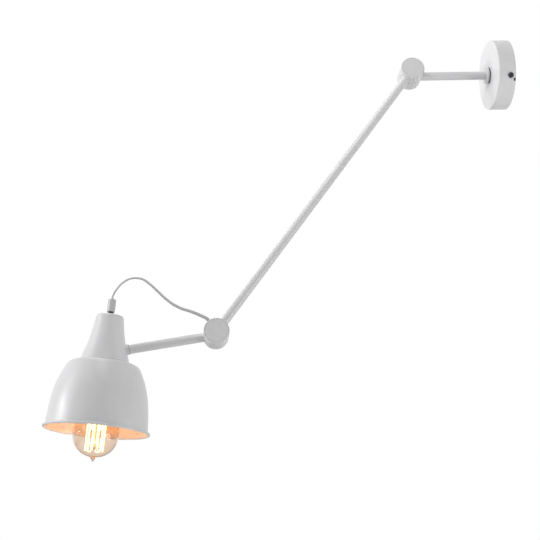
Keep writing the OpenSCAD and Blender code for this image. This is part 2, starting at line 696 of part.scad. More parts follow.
module long_arm_tube() color(paint) in_shoulder(long_drop) translate([front_x, 0, 0]) from_wall()
    translate([0, 0, tube_in]) tube(long_arm - 2 * tube_in);

// Elbow knuckle
module elbow_front_half() color(paint) in_shoulder(long_drop) long_end() front_half()
    knuckle_half(pivot_d + 2 * fit, boss_h);
module elbow_front_cap() color(paint) in_shoulder(long_drop) long_end() front_side() knuckle_cap();
module elbow_seam_washer() color(dark) in_shoulder(long_drop) long_end() seam_washer();
module elbow_pivot() color(brass) in_shoulder(long_drop) long_end() pivot();
module elbow_flat_washer() color(zinc) in_shoulder(long_drop) long_end() rear_side() translate([0, 0, web_t])
    disc_ring(flat_washer_d, pivot_d + 2 * fit, flat_washer_t);
module elbow_spring_washer() color(zinc) in_shoulder(long_drop) long_end() rear_side()
    translate([0, 0, web_t + flat_washer_t])
    dished_ring(spring_washer_d, pivot_d + 2 * fit, spring_washer_h, spring_washer_t);
module elbow_nut() color(brass) in_shoulder(long_drop) long_end() rear_side()
    translate([0, 0, web_t + flat_washer_t + spring_washer_h]) hex_nut(nut_af, pivot_d + 2 * fit, nut_t);
module sleeve_axis() {
    translate([0, knuckle_r * cos(sleeve_at), knuckle_r * sin(sleeve_at)]) rotate([sleeve_dir, 0, 0])
        rotate([-90, 0, 0]) children();
}
module elbow_rear_half() color(paint) in_elbow(lamp_drop) difference() {
    rear_side() rotate([0, 0, 180]) knuckle_half(pivot_d + 2 * run, 0);
    sleeve_axis() translate([0, 0, -sleeve_in]) cylinder(d = sleeve_d + 2 * fit, h = sleeve_in + sleeve_out);
}
module elbow_rear_cap() color(paint) in_elbow(lamp_drop) rear_side() knuckle_cap();

// Lamp arm, its end and the cord
module lamp_arm_tube() color(paint) in_elbow(lamp_drop) from_wall() translate([0, 0, tube_in])
    tube(arm_end - tube_in);
module arm_end_plug() color(brass) in_elbow(lamp_drop) from_wall() translate([0, 0, arm_end - plug_l])
    disc_ring(2 * (bore_r - fit), neck_screw_d + 2 * fit, plug_l);
module neck_screw() color(zinc) in_elbow(lamp_drop) from_wall() translate([0, 0, head_at])
    cross_screw(neck_screw_d, head_at - arm_end + plug_l - cut, neck_head_d, neck_head_h);
module cord_sleeve() color(paint) in_elbow(lamp_drop) sleeve_axis() translate([0, 0, -sleeve_in])
    difference() {
        rotate_extrude() polygon([[0, 0], [sleeve_d / 2, 0], [sleeve_d / 2, sleeve_in + sleeve_out - bevel],
            [sleeve_d / 2 - bevel, sleeve_in + sleeve_out], [0, sleeve_in + sleeve_out]]);
        translate([0, 0, -cut]) cylinder(d = cord_bore, h = sleeve_in + sleeve_out + 2 * cut);
    }

// Smooth route through the chosen points, and a flat cord swept along it with a quarter turn
function heading(p, i) = i == 0 ? unit(p[1] - p[0]) : i == len(p) - 1 ? unit(p[i] - p[i - 1])
    : unit(unit(p[i + 1] - p[i]) + unit(p[i] - p[i - 1]));
function stretch(p, i, n) = let (a = p[i], b = p[i + 1], l = norm(b - a) / 3)
    bez(a, a + l * heading(p, i), b - l * heading(p, i + 1), b, n);
function smooth(p, n) = concat([for (i = [0:len(p) - 2], j = [0:n - 1]) stretch(p, i, n)[j]], [p[len(p) - 1]]);
module sweep(p, w, h, sides) {
    n = len(p);
    pts = [for (i = [0:n - 1]) let (
        t = unit(p[min(i + 1, n - 1)] - p[max(i - 1, 0)]),
        u = unit(cross(t, [1, 0, 0])),
        v = cross(t, u),
        q = 90 * pow(i / (n - 1), 0.8),
        wide = cos(q) * u + sin(q) * v,
        flat = cos(q) * v - sin(q) * u) for (k = [0:sides - 1])
        p[i] + w / 2 * cos(360 * k / sides) * wide + h / 2 * sin(360 * k / sides) * flat];
    polyhedron(points = pts, faces = concat(
        [[for (k = [0:sides - 1]) k]],
        [for (i = [0:n - 2], k = [0:sides - 1]) let (a = i * sides + k, b = i * sides + (k + 1) % sides)
            [b, a, a + sides, b + sides]],
        [[for (k = [sides - 1:-1:0]) (n - 1) * sides + k]]));
}
module lamp_cord() color([0.8, 0.8, 0.8]) sweep(smooth(cord_pts, cord_steps), cord_d, cord_t, cord_sides);

// Neck and socket cup
module cup_solid() {
    rotate_extrude() polygon(concat([[0, bell_h]],
        [for (i = [0:24]) let (z = bell_h + cup_h * i / 24) [cup_r(z) + fit, z]], [[0, cup_z]]));
}
module neck_axis() { in_elbow(lamp_drop) from_wall() children(); }
module neck_collar() color(paint) difference() {
    neck_axis() translate([0, 0, collar_at]) rotate_extrude() polygon([[neck_screw_d / 2 + run, 0],
        [collar_d / 2 - bevel, 0], [collar_d / 2, bevel], [collar_d / 2, collar_t + over],
        [neck_screw_d / 2 + run, collar_t + over]]);
    in_shade() cup_solid();
}
module neck_washer() color(dark) neck_axis() translate([0, 0, arm_end])
    disc_ring(neck_washer_d, neck_screw_d + 2 * run, neck_washer_t);
module saddle_washer() color(zinc) difference() {
    neck_axis() translate([0, 0, saddle_at - over]) disc_ring(saddle_d, neck_screw_d + 2 * run, saddle_t + over);
    in_shade() rotate_extrude($fn = 360) polygon(concat(
        [for (i = [-6:6]) let (z = neck_z + saddle_d * i / 6) [cup_r(z) - cup_wall / cos(neck_lean) - fit, z]],
        [[cup_low_d, neck_z + saddle_d], [cup_low_d, neck_z - saddle_d]]));
}
module socket_cup() color(paint) difference() {
    in_shade() rotate_extrude() polygon(concat(
        [for (i = [0:20]) let (z = bell_h + (cup_h - cup_edge_r) * i / 20) [cup_r(z), z]],
        bez([cup_r(cup_z - cup_edge_r), cup_z - cup_edge_r],
            [cup_r(cup_z - cup_edge_r / 2), cup_z - cup_edge_r / 2.4],
            [cup_r(cup_z) - cup_edge_r / 2.4, cup_z], [cup_r(cup_z) - cup_edge_r, cup_z], 6),
        [[entry_d / 2 + fit, cup_z], [entry_d / 2 + fit, cup_z - cup_wall],
        [cup_r(cup_z) - cup_edge_r, cup_z - cup_wall]],
        [for (i = [20:-1:0]) let (z = bell_h + (cup_h - cup_edge_r) * i / 20)
            [cup_r(z) - cup_wall / cos(neck_lean), z]]));
    neck_axis() translate([0, 0, wall_t - over]) cylinder(d = neck_screw_d + 2 * run, h = cup_wall + 2 * over);
}
module entry_tube() color(dark) in_shade() translate([0, 0, entry_low])
    disc_ring(entry_d, cord_bore, entry_top - entry_low);
module entry_nut() color(brass) in_shade() translate([0, 0, cup_z - cup_wall - entry_nut_t])
    hex_nut(entry_nut_af, entry_d + 2 * fit, entry_nut_t);
module cord_grip() color(paint) in_shade() difference() {
    translate([0, 0, grip_z]) rotate_extrude() polygon([[0, 0], [grip_d / 2 - bevel, 0], [grip_d / 2, bevel],
        [grip_d / 2, grip_l - bevel], [grip_d / 2 - bevel, grip_l], [0, grip_l]]);
    translate([0, 0, grip_z - cut]) cylinder(d = entry_d + 2 * fit, h = entry_in + cut);
    translate([0, 0, grip_z]) cylinder(d = cord_bore, h = grip_l + cut);
}

// Bell shade and lampholder
module bell_shade() color(paint) in_shade() rotate_extrude()
    polygon(concat(bell_line, bead_line, flip(bell_inner)));
module lampholder_body() color([0.9, 0.9, 0.88]) in_shade() rotate_extrude() polygon([
    [holder_bore_r, holder_low], [holder_d / 2, holder_low], [holder_d / 2, bell_h],
    [holder_flange_d / 2, bell_h], [holder_flange_d / 2, bell_h + holder_flange_t],
    [holder_body_d / 2, bell_h + holder_flange_t], [holder_body_d / 2, holder_body_top],
    [holder_body_d / 2 - holder_wall, holder_body_top], [holder_body_d / 2 - holder_wall, floor_z + holder_floor_t],
    [0, floor_z + holder_floor_t], [0, floor_z], [holder_bore_r, floor_z]]);
module lampholder_cap() color([0.9, 0.9, 0.88]) in_shade() translate([0, 0, holder_body_top]) rotate_extrude()
    polygon([[holder_body_d / 2 - holder_cap_wall, 0], [holder_body_d / 2, 0],
        [holder_body_d / 2, holder_cap_rim], [holder_boss_d / 2, holder_cap_h - holder_boss_h],
        [holder_boss_d / 2, holder_cap_h], [entry_d / 2 + fit, holder_cap_h],
        [entry_d / 2 + fit, holder_cap_h - boss_in], [holder_boss_d / 2, holder_cap_h - boss_in],
        [holder_body_d / 2 - holder_cap_wall, holder_cap_rim - cut]]);
module lampholder_shell() color(brass) in_shade() translate([0, 0, holder_low + shell_in])
    disc_ring(2 * (shell_r + shell_t), 2 * shell_r, screw_h - shell_in - cut);
module lampholder_contact() color(brass) in_shade() translate([0, 0, contact_z]) union() {
    cylinder(d = stud_d, h = floor_z - contact_z);
    translate([-strip_w, -strip_w / 2, floor_z - contact_z - strip_t]) cube([strip_l, strip_w, strip_t]);
}
module shade_ring() color([0.9, 0.9, 0.88]) in_shade() translate([0, 0, bell_h - bell_wall - ring_h]) difference() {
    disc_ring(ring_d, holder_d + 2 * fit, ring_h);
    for (i = [1:ring_grips]) rotate([0, 0, i * 360 / ring_grips]) translate([ring_d / 2, 0, -cut])
        cylinder(d = ring_grip_d, h = ring_h);
}

// Bulb
module bulb_glass() color([1, 0.8, 0.5, 0.4]) in_shade() rotate_extrude() polygon(concat(glass_line,
    [for (p = flip(glass_line)) if (p[1] > glass_floor) [max(p[0] - glass_t, 0), p[1]]], [[0, glass_floor]]));
function wave(r, n0, n1) = [for (i = [n0:sign(n1 - n0):n1])
    [r - screw_wave / 2 * (1 - cos(i * 45)), screw_low + 2.2 + screw_pitch * i / 8]];
module bulb_screw_cap() color(brass) in_shade() rotate_extrude() polygon(concat(
    [[neck_glass_r + fit, screw_low], [screw_d / 2, screw_low], [screw_d / 2, screw_low + 1.2]],
    wave(screw_d / 2, 0, 8 * screw_turns),
    [[tail_d / 2, screw_top], [tail_d / 2 - 0.8, screw_top - 0.6]],
    wave(screw_d / 2 - 0.45, 8 * screw_turns, 12),
    [[neck_glass_r + fit, screw_low + 6.6]]));
module bulb_insulator() color(dark) in_shade() translate([0, 0, screw_top]) rotate_extrude()
    polygon([[0, 0], [tail_d / 2, 0], [contact_d / 2 + cap_bevel, tail_h - contact_h], [0, tail_h - contact_h]]);
module bulb_contact() color(zinc) in_shade() translate([0, 0, contact_z - contact_h]) rotate_extrude()
    polygon([[0, 0], [contact_d / 2, 0], [contact_d * 0.42, contact_h * 0.7], [contact_d * 0.24, contact_h],
        [0, contact_h]]);
module bulb_stem() color([1, 0.92, 0.8, 0.5]) in_shade() rotate_extrude() polygon([[0, stem_foot],
    [stem_r, stem_foot], [stem_r, stem_foot + stem_bead], [stem_r / 2, stem_foot + stem_bead + stem_taper],
    [stem_r / 2, cage_z - stem_bead - stem_taper], [stem_r, cage_z - stem_bead], [stem_r, screw_low - stem_taper],
    [flare_r, flare_z], [flare_r, flare_z + flare_t], [stem_pipe_d / 2, flare_z + flare_t],
    [stem_pipe_d / 2, stem_top], [0, stem_top]]);
function cage_pt(i, top) = let (r = (top ? cage_top_d : cage_foot_d) / 2, a = cage_turn + i * 360 / strands)
    [r * cos(a), r * sin(a), top ? cage_z : bulb_tip + cage_foot];
module rod(a, b, d) {
    v = b - a;
    translate(a) rotate([0, acos(v[2] / norm(v)), atan2(v[1], v[0])]) cylinder(d = d, h = norm(v), $fn = 6);
}
module bulb_filament() color([1, 0.85, 0.4]) in_shade() union() for (i = [0:strands - 1]) {
    rod(cage_pt(i, true), cage_pt(i, false), strand_d);
    if (i < strands - 1) rod(cage_pt(i - 0.05, i % 2 == 0), cage_pt(i + 1.05, i % 2 == 0), strand_d);
}
module hook_ring(bore, z, top) {
    translate([0, 0, z - cut]) disc_ring(bore + 2 * cut, bore + 2 * fit, 2 * cut);
    for (i = [0:strands - 2]) if ((i % 2 == 0) == top)
        let (a = cage_turn + (i + 0.5) * 360 / strands, r = (bore + cut) / 2)
        rod([r * cos(a), r * sin(a), z], cage_pt(i + 0.5, top) + [0, 0, top ? -hook_over : hook_over], hook_d);
}
module filament_hooks() color(zinc) in_shade() {
    hook_ring(stem_r, cage_z - 2 * stem_bead, true);
    hook_ring(stem_glass_d, stem_foot + stem_bead / 2, false);
}

wall_bracket();
canopy();
side_screws();
earth_screw();
terminal_block();
terminal_clamps();
root_friction_washer();
root_fitting();
root_flat_washer();
root_spring_washer();
root_nut();
wall_arm_tube();
shoulder_rear_half();
shoulder_rear_cap();
shoulder_front_half();
shoulder_front_cap();
shoulder_seam_washer();
shoulder_pivot();
shoulder_flat_washer();
shoulder_spring_washer();
shoulder_nut();
long_arm_tube();
elbow_front_half();
elbow_front_cap();
elbow_seam_washer();
elbow_pivot();
elbow_flat_washer();
elbow_spring_washer();
elbow_nut();
elbow_rear_half();
elbow_rear_cap();
lamp_arm_tube();
arm_end_plug();
neck_screw();
cord_sleeve();
lamp_cord();
neck_washer();
neck_collar();
saddle_washer();
socket_cup();
entry_tube();
entry_nut();
cord_grip();
bell_shade();
lampholder_body();
lampholder_cap();
lampholder_shell();
lampholder_contact();
shade_ring();
bulb_glass();
bulb_screw_cap();
bulb_insulator();
bulb_contact();
bulb_stem();
bulb_filament();
filament_hooks();
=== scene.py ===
import json
from math import atan2, cos, degrees, pi, radians, sin, sqrt

import bmesh
import bpy
from mathutils import Matrix, Vector


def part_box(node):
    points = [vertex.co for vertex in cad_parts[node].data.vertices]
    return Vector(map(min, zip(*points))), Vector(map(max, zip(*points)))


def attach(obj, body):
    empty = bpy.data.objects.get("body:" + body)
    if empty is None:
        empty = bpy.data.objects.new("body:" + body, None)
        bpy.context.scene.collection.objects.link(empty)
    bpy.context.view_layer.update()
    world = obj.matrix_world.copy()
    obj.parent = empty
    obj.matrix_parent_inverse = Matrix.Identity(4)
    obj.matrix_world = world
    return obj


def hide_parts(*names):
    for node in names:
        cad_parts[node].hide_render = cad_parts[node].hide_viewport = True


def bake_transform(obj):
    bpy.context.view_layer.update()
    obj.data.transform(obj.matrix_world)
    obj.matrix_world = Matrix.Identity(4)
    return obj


# Wall lamp with a bell shade: canopy, two arms on friction knuckles, cord and bulb.
# Metres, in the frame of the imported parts: the wall is the plane Y = 0, the room is towards -Y.
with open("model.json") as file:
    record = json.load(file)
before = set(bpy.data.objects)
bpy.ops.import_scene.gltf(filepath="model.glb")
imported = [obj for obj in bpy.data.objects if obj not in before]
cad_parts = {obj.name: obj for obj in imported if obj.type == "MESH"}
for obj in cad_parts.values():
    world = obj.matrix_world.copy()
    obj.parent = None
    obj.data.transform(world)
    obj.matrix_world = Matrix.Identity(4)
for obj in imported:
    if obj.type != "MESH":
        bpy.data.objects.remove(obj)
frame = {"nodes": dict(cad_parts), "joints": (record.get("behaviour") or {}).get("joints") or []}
nodes = frame["nodes"]
joints = {j["name"]: j for j in frame["joints"]}
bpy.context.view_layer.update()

# Camera: to the right of the lamp and below it, looking up at it with a fairly long lens.
camera_azimuth = 84.855
camera_elevation = -18.151
camera_roll = -3.375
camera_place = (1.34674, -0.48456, -0.73321)
camera_lens = 70.07

azimuth, elevation, roll = radians(camera_azimuth), radians(camera_elevation), radians(camera_roll)
back = Vector((sin(azimuth) * cos(elevation), -cos(azimuth) * cos(elevation), sin(elevation)))
right = (-back).cross(Vector((0, 0, 1))).normalized()
up = right.cross(-back)
right, up = cos(roll) * right + sin(roll) * up, cos(roll) * up - sin(roll) * right
camera = bpy.data.objects.new("camera", bpy.data.cameras.new("camera"))
camera.data.lens = camera_lens
camera.matrix_world = Matrix.Translation(camera_place) @ Matrix((right, up, back)).transposed().to_4x4()
bpy.context.scene.collection.objects.link(camera)
bpy.context.scene.camera = camera

# Lamp cord: flat twin flex with a smooth plastic jacket, out of the elbow's sleeve and down into the grip
# on the cup. It is stiff enough to stand in an arc, and it twists a quarter turn on its way.
cord_width = 0.005
cord_thickness = 0.0028
cord_groove = 0.16
groove_width = 0.3
cord_twist = 90
twist_late = 0.8
cord_sides = 24
cord_parts = 4
knuckle_radius = 0.017
sleeve_angle = 98.6
sleeve_lean = 28
sleeve_out = 0.006
cord_route = [(0, -16, 30.5), (0.5, -28, 38), (0.5, -39.5, 44), (1, -50, 52), (1, -59, 62), (1, -67, 73),
              (1.5, -75, 83.5), (2, -84.5, 92.5), (2.5, -98.5, 95.5), (2.5, -111, 91), (2.5, -121, 82)]
cord_ends_in = (-0.004, 0, 0.004)
grip_ends_in = (0.004, 0, -0.007)

elbow = Vector(joints["elbow_tilt"]["pos_m"])
arm_line = Vector(joints["shade_turn"]["axis"]).normalized()
arm_frame = Matrix((Vector((1, 0, 0)), -arm_line, Vector((1, 0, 0)).cross(-arm_line))).transposed()


def middle(node):
    """Centre of a round node, which lies on its axis."""
    low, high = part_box(node)
    return (low + high) / 2


def arm_point(x, y, z):
    """A point given across, along and above the lamp arm, from the elbow."""
    return elbow + arm_frame @ Vector((x, y, z))


def sleeve_point(out):
    a, b = radians(sleeve_angle), radians(sleeve_angle + sleeve_lean)
    return arm_point(0, knuckle_radius * cos(a) + out * cos(b), knuckle_radius * sin(a) + out * sin(b))


holder_middle = middle("lampholder_shell")
shade_axis = (middle("entry_tube") - holder_middle).normalized()
holder_middle_height = 0.08495
rim_centre = holder_middle - holder_middle_height * shade_axis
grip_top = 0.1752


def smooth_line(points, parts):
    """Points along a smooth curve through the given ones, with even bends."""
    last = len(points) - 1
    steps = [(points[i + 1] - points[i]).normalized() for i in range(last)]
    heading = [(steps[max(i - 1, 0)] + steps[min(i, last - 1)]).normalized() for i in range(last + 1)]
    line = []
    for i in range(last):
        reach = (points[i + 1] - points[i]).length / 3
        handles = (points[i], points[i] + reach * heading[i],
                   points[i + 1] - reach * heading[i + 1], points[i + 1])
        for k in range(parts):
            t = k / parts
            weights = ((1 - t) ** 3, 3 * t * (1 - t) ** 2, 3 * t * t * (1 - t), t ** 3)
            line.append(sum((w * h for w, h in zip(weights, handles)), Vector()))
    return line + [points[-1]]


def place_piece(piece, body, slot, material, *replaced):
    """Gives a finished piece its material, its body and the nodes that it stands for."""
    piece.data.materials.clear()
    piece.data.materials.append(material)
    if body:
        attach(piece, body)
    if replaced:
        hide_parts(*replaced)


def new_material(name):
    """A material with one Principled shader, object coordinates, and its node tools."""
    material = bpy.data.materials.new(name)
    material.use_nodes = True
    tree = material.node_tree
    shader = tree.nodes["Principled BSDF"]
    place = tree.nodes.new("ShaderNodeTexCoord").outputs["Object"]
    return material, tree, shader, place


def noise(tree, place, scale, detail=2.0, roughness=0.5, stretch=None):
    if stretch:
        mapping = tree.nodes.new("ShaderNodeMapping")
        mapping.inputs["Scale"].default_value = stretch
        tree.links.new(place, mapping.inputs["Vector"])
        place = mapping.outputs["Vector"]
    node = tree.nodes.new("ShaderNodeTexNoise")
    node.inputs["Scale"].default_value = scale
    node.inputs["Detail"].default_value = detail
    node.inputs["Roughness"].default_value = roughness
    tree.links.new(place, node.inputs["Vector"])
    return node.outputs["Fac"]


def spread(tree, value, low, high, start=0.3, end=0.7):
    """Maps a value onto the range from low to high."""
    node = tree.nodes.new("ShaderNodeMapRange")
    for name, number in (("From Min", start), ("From Max", end), ("To Min", low), ("To Max", high)):
        node.inputs[name].default_value = number
    tree.links.new(value, node.inputs["Value"])
    return node.outputs["Result"]


def two_colours(tree, factor, first, second):
    node = tree.nodes.new("ShaderNodeMix")
    node.data_type = "RGBA"
    tree.links.new(factor, node.inputs["Factor"])
    for socket, colour in (("A", first), ("B", second)):
        next(s for s in node.inputs if s.name == socket and s.type == "RGBA").default_value = (*colour, 1)
    return next(s for s in node.outputs if s.type == "RGBA")


def relief(tree, shader, height, depth, strength):
    node = tree.nodes.new("ShaderNodeBump")
    node.inputs["Strength"].default_value = strength
    node.inputs["Distance"].default_value = depth
    tree.links.new(height, node.inputs["Height"])
    tree.links.new(node.outputs["Normal"], shader.inputs["Normal"])


def soft_plastic(name, colour, shade, roughness):
    """Moulded or drawn plastic: faint mottling, a fine grain and a slightly uneven gloss."""
    material, tree, shader, place = new_material(name)
    tree.links.new(two_colours(tree, noise(tree, place, 90, 3), colour, shade), shader.inputs["Base Color"])
    tree.links.new(spread(tree, noise(tree, place, 400), roughness - 0.05, roughness + 0.08),
                   shader.inputs["Roughness"])
    relief(tree, shader, noise(tree, place, 2500, 2), 0.00003, 0.4)
    return material


def finished(name, bm, sharp=35):
    """The object of a finished mesh, smooth except along its sharp edges."""
    bmesh.ops.recalc_face_normals(bm, faces=bm.faces)
    mesh = bpy.data.meshes.new(name)
    bm.to_mesh(mesh)
    bm.free()
    mesh.shade_smooth()
    mesh.set_sharp_from_angle(angle=radians(sharp))
    piece = bpy.data.objects.new(name, mesh)
    bpy.context.scene.collection.objects.link(piece)
    return piece


def swept(name, outline, places):
    """A piece drawn from one outline along a row of places, with closed ends."""
    bm = bmesh.new()
    ring = [bm.verts.new(places[0] @ Vector((x, y, 0))) for x, y in outline]
    edges = [bm.edges.new(pair) for pair in zip(ring, ring[1:] + ring[:1])]
    for before, after in zip(places, places[1:]):
        made = bmesh.ops.extrude_edge_only(bm, edges=edges)["geom"]
        verts = {g for g in made if isinstance(g, bmesh.types.BMVert)}
        edges = [g for g in made if isinstance(g, bmesh.types.BMEdge) and set(g.verts) <= verts]
        bmesh.ops.transform(bm, matrix=after @ before.inverted(), verts=list(verts))
    bmesh.ops.holes_fill(bm, edges=[e for e in bm.edges if e.is_boundary])
    return finished(name, bm)


cord_points = ([sleeve_point(sleeve_out + d) for d in cord_ends_in]
               + [arm_point(*(v / 1000 for v in p)) for p in cord_route]
               + [rim_centre + (grip_top + d) * shade_axis for d in grip_ends_in])
cord_line = smooth_line(cord_points, cord_parts)
cord_outline = []
for k in range(cord_sides):
    x, y = cos(2 * pi * k / cord_sides), sin(2 * pi * k / cord_sides)
    groove = 1 - cord_groove * max(0, 1 - abs(x) / groove_width)
    cord_outline.append((cord_width / 2 * x, cord_thickness / 2 * y * groove))
cord_places = []
for k, point in enumerate(cord_line):
    ahead = (cord_line[min(k + 1, len(cord_line) - 1)] - cord_line[max(k - 1, 0)]).normalized()
    level = ahead.cross(Vector((1, 0, 0))).normalized()
    twist = radians(cord_twist) * (k / (len(cord_line) - 1)) ** twist_late
    wide = cos(twist) * level + sin(twist) * ahead.cross(level)
    turn = Matrix((wide, ahead.cross(wide), ahead)).transposed().to_4x4()
    cord_places.append(Matrix.Translation(point) @ turn)
lamp_flex = swept("lamp_flex", cord_outline, cord_places)
cord_jacket = soft_plastic("cord_jacket", (0.56, 0.56, 0.57), (0.50, 0.50, 0.51), 0.45)
place_piece(lamp_flex, None, "cord_jacket", cord_jacket, "lamp_cord")
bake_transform(lamp_flex)

# Sleeve: a short tube of grey plastic, pressed into a hole in the elbow's rear half where the cord comes
# out. It keeps the cord off the hole's edge.
sleeve_plastic = soft_plastic("sleeve_plastic", (0.60, 0.60, 0.61), (0.54, 0.54, 0.55), 0.45)


def finish_nodes(material, *names):
    """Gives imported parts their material."""
    for name in names:
        nodes[name].data.materials.clear()
        nodes[name].data.materials.append(material)


finish_nodes(sleeve_plastic, "cord_sleeve")

# Wall bracket: a strip of galvanised steel, punched and bent, screwed to the wall. The flat and spring
# washers, the neck screw and the bulb's hooks and contact are zinc-plated steel too.


def bare_metal(name, colour, dull, roughness, grain=(1, 1, 1)):
    """Bare or plated metal: tone in soft patches, fine lines from rolling or turning, uneven gloss."""
    material, tree, shader, place = new_material(name)
    patches = noise(tree, place, 140, 4, 0.6)
    tree.links.new(two_colours(tree, patches, colour, dull), shader.inputs["Base Color"])
    tree.links.new(spread(tree, noise(tree, place, 700, 3), roughness - 0.08, roughness + 0.12),
                   shader.inputs["Roughness"])
    shader.inputs["Metallic"].default_value = 1.0
    relief(tree, shader, noise(tree, place, 900, 3, 0.6, grain), 0.00003, 0.5)
    return material


zinc_steel = bare_metal("zinc_steel", (0.62, 0.63, 0.65), (0.48, 0.49, 0.51), 0.34, (0.2, 1, 1))
finish_nodes(zinc_steel, "wall_bracket", "root_flat_washer", "root_spring_washer",
             "shoulder_flat_washer", "shoulder_spring_washer", "elbow_flat_washer", "elbow_spring_washer",
             "neck_screw", "saddle_washer", "bulb_contact", "filament_hooks")

# Brass pieces, turned or stamped and left bare: the earth screw and the terminal sleeves, the hollow pivots,
# the nuts, the plug in the lamp arm's end, and the shell and contact of the lampholder and the bulb.
plain_brass = bare_metal("plain_brass", (0.80, 0.58, 0.26), (0.62, 0.42, 0.17), 0.3, (1, 0.25, 1))
finish_nodes(plain_brass, "earth_screw", "terminal_clamps", "root_nut", "shoulder_pivot",
             "shoulder_nut", "elbow_pivot", "elbow_nut", "arm_end_plug", "entry_nut",
             "lampholder_shell", "lampholder_contact", "bulb_screw_cap")

# Terminal block: three poles moulded in one piece of white nylon, on the bracket inside the canopy. The
# supply wires are screwed down in its brass sleeves.
white_plastic = soft_plastic("white_plastic", (0.80, 0.80, 0.77), (0.74, 0.74, 0.71), 0.4)
finish_nodes(white_plastic, "terminal_block")

# Canopy: a drawn steel cup over the bracket, held by two screws through its side. It has the same grey-white
# stoved enamel as the whole lamp, with a faint orange peel, and settled dust dulls it in soft patches. Its
# enamel is set a little lighter than the arms' as painted light on its face.
dust_shade = 0.94
peel_depth = 0.00002
peel_strength = 0.5
coat_weight = 0.12
coat_roughness = 0.3


def enamel(name, colour, roughness):
    """Stoved enamel: soft patches of dust, uneven gloss, a faint orange peel and a thin clear skin."""
    material, tree, shader, place = new_material(name)
    dusty = tuple(dust_shade * c for c in colour)
    patches = spread(tree, noise(tree, place, 28, 5, 0.6), 0, 1, 0.35, 0.75)
    tree.links.new(two_colours(tree, patches, colour, dusty), shader.inputs["Base Color"])
    tree.links.new(spread(tree, noise(tree, place, 70, 4, 0.6), roughness - 0.05, roughness + 0.07),
                   shader.inputs["Roughness"])
    relief(tree, shader, noise(tree, place, 150, 2, 0.4), peel_depth, peel_strength)
    shader.inputs["Coat Weight"].default_value = coat_weight
    shader.inputs["Coat Roughness"].default_value = coat_roughness
    return material


# Lighter than the arms' enamel of the same paint: painted light on the canopy.
canopy_enamel = enamel("canopy_enamel", (0.76, 0.76, 0.77), 0.4)
finish_nodes(canopy_enamel, "canopy")

# Side screws: two small cross-head screws of blackened steel that hold the canopy to the bracket's ears.
# The thread tube on top of the cup is of the same steel.
dark_steel = bare_metal("dark_steel", (0.09, 0.09, 0.095), (0.05, 0.05, 0.055), 0.42)
finish_nodes(dark_steel, "side_screws", "entry_tube")

# Notch shade pad: a small black block in the pry notch of the canopy's rim, sunk so that it lies just
# below the cup's wall. Its black is painted shade: it stands for the shade inside the notch.
canopy_radius = 0.05
notch_size = (0.0024, 0.0043, 0.0028)
notch_angle = -35.4
notch_sink = 0.0003
notch_bevel = 0.0003
# Black colour that stands for the shade in the notch: painted shade.
notch_shade_black = soft_plastic("notch_painted_shade", (0.05, 0.05, 0.055), (0.03, 0.03, 0.033), 0.6)
bm = bmesh.new()
bmesh.ops.create_cube(bm, size=1)
bmesh.ops.scale(bm, vec=notch_size, verts=bm.verts)
bmesh.ops.bevel(bm, geom=bm.edges, offset=notch_bevel, segments=2, profile=0.5, affect="EDGES", material=-1)
bmesh.ops.translate(bm, vec=(canopy_radius - notch_sink - notch_size[0] / 2, 0, notch_size[2] / 2),
                    verts=bm.verts)
for angle, axis in ((notch_angle, "Z"), (90, "X")):
    bmesh.ops.rotate(bm, cent=(0, 0, 0), matrix=Matrix.Rotation(radians(angle), 3, axis), verts=bm.verts)
place_piece(finished("notch_shade_pad", bm), "wall_plate", "dark_nylon", notch_shade_black)

# Friction washers: stamped rings of dark nylon at the arm's root and in the seams of the knuckles, and a
# worn, paler one at the neck. The joints turn on them, and only their edges show.
dark_nylon = soft_plastic("dark_nylon", (0.09, 0.09, 0.10), (0.06, 0.06, 0.07), 0.55)
finish_nodes(dark_nylon, "root_friction_washer", "shoulder_seam_washer", "elbow_seam_washer")
worn_nylon = soft_plastic("worn_nylon", (0.40, 0.40, 0.41), (0.33, 0.33, 0.34), 0.5)
finish_nodes(worn_nylon, "neck_washer")

# Arms: round steel tube, welded to the knuckle halves, with a turned flange at its root. The arms and the
# collar at the neck are enamelled.
arm_enamel = enamel("arm_enamel", (0.70, 0.70, 0.71), 0.36)
finish_nodes(arm_enamel, "root_fitting", "wall_arm_tube", "long_arm_tube", "lamp_arm_tube", "neck_collar")

# Knuckles: turned steel halves on a hollow pivot, with press-in caps that hide the nuts. They are enamelled
# like the arms, a little duller.
knuckle_enamel = enamel("knuckle_enamel", (0.70, 0.70, 0.71), 0.4)
finish_nodes(knuckle_enamel, "shoulder_rear_half", "shoulder_rear_cap", "shoulder_front_half",
             "shoulder_front_cap", "elbow_front_half", "elbow_front_cap", "elbow_rear_half", "elbow_rear_cap")

# Seam pins: three small grey nylon pins under each knuckle, in the notches at the seam. They are pressed
# into the front half and stand nearly flush.
seam_place = 0.0089
pin_angles = (-108, -90, -72)
pin_radius = 0.0007
pin_sink = 0.0006
pin_reach = knuckle_radius - pin_sink
bm = bmesh.new()
for joint in ("shoulder_tilt", "elbow_tilt"):
    for angle in (radians(a) for a in pin_angles):
        spot = Vector(joints[joint]["pos_m"]) + Vector((0, pin_reach * cos(angle), pin_reach * sin(angle)))
        spot.x = seam_place
        bmesh.ops.create_uvsphere(bm, u_segments=16, v_segments=10, radius=pin_radius,
                                  matrix=Matrix.Translation(spot))
place_piece(finished("seam_pins", bm), "long_arm", "dark_nylon", worn_nylon)

# Socket cup: a spun steel cone with a slightly hollow flare and a rounded top, enamelled. It sits on the
# bell, with a fine groove at its foot, and the neck screw holds it to the lamp arm.
bell_height = 0.0892
cup_height = 0.0636
cup_low_radius = 0.0332
cup_top_radius = 0.0179
cup_flare_radius = 0.247
cup_sheet = 0.0013
cup_edge = 0.0025
cup_hole_radius = 0.00405
cup_foot_bevel = 0.0013
neck_lean = 14.8
cup_steps = 24
edge_steps = 8
edge_round = 2.4

